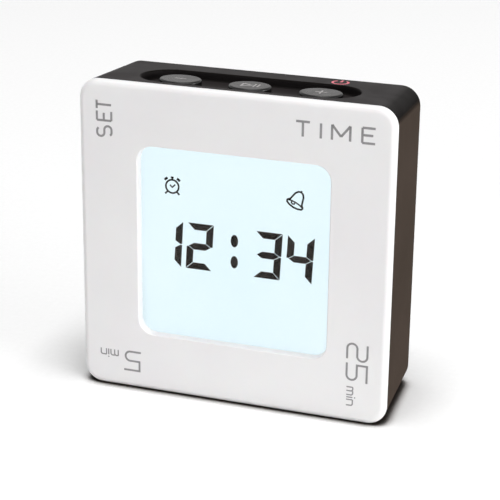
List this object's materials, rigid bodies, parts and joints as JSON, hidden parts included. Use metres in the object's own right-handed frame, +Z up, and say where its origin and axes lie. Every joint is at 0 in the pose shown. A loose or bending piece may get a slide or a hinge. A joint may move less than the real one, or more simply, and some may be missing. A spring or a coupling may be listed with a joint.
{
  "type": "flip clock",
  "caption": "Square flip clock and timer: white front cover with a lit display window, drafted dark housing, oval push buttons in a top recess and a battery door behind.",
  "frame": {"origin": "middle of the flat underside that the clock stands on", "axes": "+Z up, +Y from the face to the back, +X to the right of the face; the face leans back by the housing draft of 2.35 degrees"},
  "size_m": [0.08, 0.0301, 0.0799],
  "materials": {
    "cover_plastic": "satin moulded ABS, white",
    "housing_plastic": "fine matte moulded ABS, dark grey",
    "door_plastic": "fine matte moulded ABS, dark grey",
    "button_plastic": "satin top, glossy side, grey",
    "clear_plastic": "clear acrylic pane",
    "display_glass": "clear soda-lime glass",
    "display_ink": "dark liquid crystal segments",
    "light_sheet": "lit diffuser sheet, pale cyan",
    "light_guide": "clear acrylic guide",
    "reflector": "white reflector film",
    "lamp": "moulded lamp body",
    "inner_plastic": "white moulded polystyrene",
    "board": "green solder mask on glass fibre",
    "resin": "black epoxy resin",
    "plated_steel": "nickel-plated steel",
    "capacitor": "ceramic chip",
    "screw_steel": "zinc-plated steel",
    "rubber": "silicone rubber",
    "sensor_plastic": "black moulded nylon",
    "ball_steel": "polished steel ball",
    "switch_plastic": "black moulded nylon",
    "cone_film": "clear amber film",
    "magnet": "ferrite magnet",
    "foam": "closed cell foam",
    "cell_jacket": "printed film sleeve on a steel can",
    "wire": "PVC insulated wire",
    "ribbon": "flat flexible cable"
  },
  "bodies": {
    "clock": {"front_cover": "cover_plastic", "rear_housing": "housing_plastic", "display_window": "clear_plastic", "lcd_front_glass": "display_glass", "lcd_digits": "display_ink", "lcd_icons": "display_ink", "lcd_rear_glass": "display_glass", "light_diffuser": "light_sheet", "light_guide": "light_guide", "light_reflector": "reflector", "backlight_strip": "ribbon", "backlight_leds": "lamp", "display_frame": "inner_plastic", "contact_strip": "rubber", "main_board": "board", "controller_chip": "resin", "clock_crystal": "plated_steel", "board_capacitors": "capacitor", "board_screws": "screw_steel", "tilt_cup": "sensor_plastic", "tilt_lid": "sensor_plastic", "switch_bodies": "switch_plastic", "button_board": "board", "button_board_screws": "screw_steel", "button_ribbon": "ribbon", "speaker_frame": "plated_steel", "speaker_cone": "cone_film", "speaker_magnet": "magnet", "speaker_gasket": "foam", "speaker_leads": "wire", "upper_cell": "cell_jacket", "lower_cell": "cell_jacket", "battery_plates": "plated_steel", "battery_springs": "plated_steel", "battery_leads": "wire", "case_screws": "screw_steel"},
    "battery_door": {"battery_door": "door_plastic"},
    "left_button": {"left_button": "button_plastic", "left_plunger": "switch_plastic"},
    "middle_button": {"middle_button": "button_plastic", "middle_plunger": "switch_plastic"},
    "right_button": {"right_button": "button_plastic", "right_plunger": "switch_plastic"},
    "tilt_ball": {"tilt_ball": "ball_steel"}
  },
  "joints": [
    {"name": "battery_door_pull", "type": "slide", "parent": "clock", "child": "battery_door", "axis": [0, 0.9992, -0.041], "range_m": [0, 0.012]},
    {"name": "left_button_press", "type": "slide", "parent": "clock", "child": "left_button", "axis": [0, -0.041, -0.9992], "range_m": [0, 0.0006], "stiffness_N_per_m": 400, "springref_m": -0.0003},
    {"name": "middle_button_press", "type": "slide", "parent": "clock", "child": "middle_button", "axis": [0, -0.041, -0.9992], "range_m": [0, 0.0006], "stiffness_N_per_m": 400, "springref_m": -0.0003},
    {"name": "right_button_press", "type": "slide", "parent": "clock", "child": "right_button", "axis": [0, -0.041, -0.9992], "range_m": [0, 0.0006], "stiffness_N_per_m": 400, "springref_m": -0.0003},
    {"name": "tilt_ball_roll", "type": "hinge", "parent": "clock", "child": "tilt_ball", "pos_m": [0.0215, -0.00075, 0.01953], "axis": [0, 0.9992, -0.041], "continuous": true}
  ]
}
